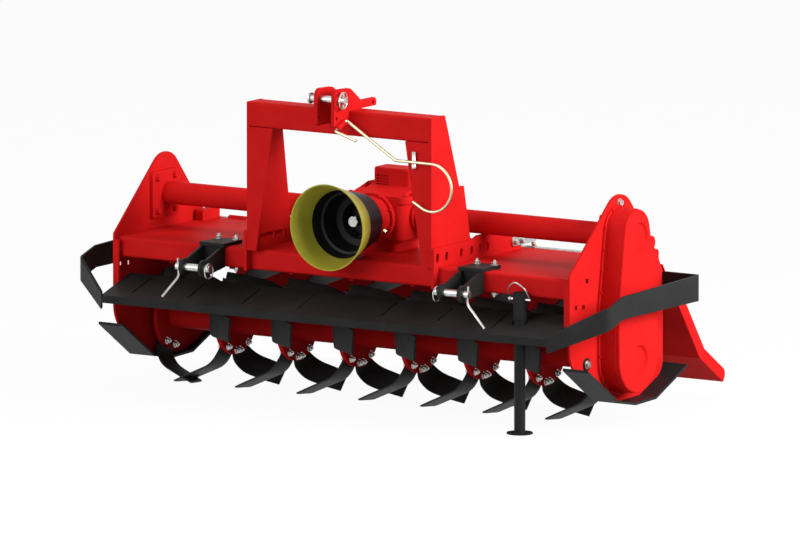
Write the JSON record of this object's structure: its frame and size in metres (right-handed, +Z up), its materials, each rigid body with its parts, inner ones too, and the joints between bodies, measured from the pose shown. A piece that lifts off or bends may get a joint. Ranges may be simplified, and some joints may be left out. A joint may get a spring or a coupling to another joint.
{
  "type": "rotary tiller",
  "caption": "Tractor-mounted rotary tiller with a tined rotor, three-point mast, side gear case, guard bars, skids, tailboard and parking stand.",
  "frame": {"origin": "on the floor under the middle of the machine's box", "axes": "+X towards the gear case end, -Y towards the tractor, +Z up"},
  "size_m": [2.132, 1.1372, 1.1192],
  "materials": {
    "red_paint": "gloss",
    "black_paint": "satin",
    "tine_black": "satin",
    "zinc": "satin",
    "yellow_plastic": "satin",
    "black_plastic": "matt",
    "yellow_zinc": "satin"
  },
  "bodies": {
    "frame": {"end_plate_left": "red_paint", "end_plate_right": "red_paint", "front_beam": "red_paint", "hood_deck": "red_paint", "cross_tube_left": "red_paint", "cross_tube_right": "red_paint", "gearbox": "red_paint", "gearbox_cover": "red_paint", "input_carrier": "red_paint", "mast_leg_left": "red_paint", "mast_leg_right": "red_paint", "mast_top_beam": "red_paint", "rib_left": "red_paint", "rib_right": "red_paint", "top_hitch_bracket": "red_paint", "side_gear_case": "red_paint", "side_case_cover": "red_paint", "rotor_bearing_left": "red_paint", "hitch_bracket_left": "black_paint", "hitch_bracket_right": "black_paint", "guard_plate": "black_paint", "guard_bar_left": "black_paint", "guard_bar_right": "black_paint", "skid_left": "black_paint", "skid_right": "black_paint", "stand_sleeve": "black_paint", "top_hitch_pin": "zinc", "hitch_pin_left": "zinc", "hitch_pin_right": "zinc", "hinge_pin": "zinc", "adjust_bracket_left": "zinc", "adjust_bracket_right": "zinc", "pto_ring": "yellow_plastic", "pto_bowl": "black_plastic", "pto_hook": "yellow_zinc"},
    "rotor": {"rotor_shaft": "red_paint", "tines_left_hand": "tine_black", "tines_right_hand": "tine_black"},
    "pto_shaft": {"pto_stub": "zinc"},
    "tailboard": {"tailboard": "red_paint"},
    "adjusters": {"adjust_rod_left": "yellow_zinc", "adjust_rod_right": "yellow_zinc"},
    "stand": {"stand_leg": "black_paint"}
  },
  "joints": [
    {"name": "rotor_spin", "type": "hinge", "parent": "frame", "child": "rotor", "pos_m": [0, -0.12565, 0.22999], "axis": [1, 0, 0], "continuous": true},
    {"name": "pto_spin", "type": "hinge", "parent": "frame", "child": "pto_shaft", "pos_m": [0, -0.26065, 0.64699], "axis": [0, 1, 0], "continuous": true},
    {"name": "tailboard_swing", "type": "hinge", "parent": "frame", "child": "tailboard", "pos_m": [0, 0.15535, 0.52499], "axis": [1, 0, 0], "range_deg": [0, 35]},
    {"name": "adjuster_swing", "type": "hinge", "parent": "frame", "child": "adjusters", "pos_m": [0, 0.17235, 0.55999], "axis": [1, 0, 0], "range_deg": [0, 36]},
    {"name": "stand_slide", "type": "slide", "parent": "frame", "child": "stand", "axis": [0, 0, 1], "range_m": [0, 0.2]}
  ],
  "couplings": [
    {"joint": "pto_spin", "follows": "rotor_spin", "ratio": 2.5},
    {"joint": "adjuster_swing", "follows": "tailboard_swing", "ratio": 0.95}
  ]
}
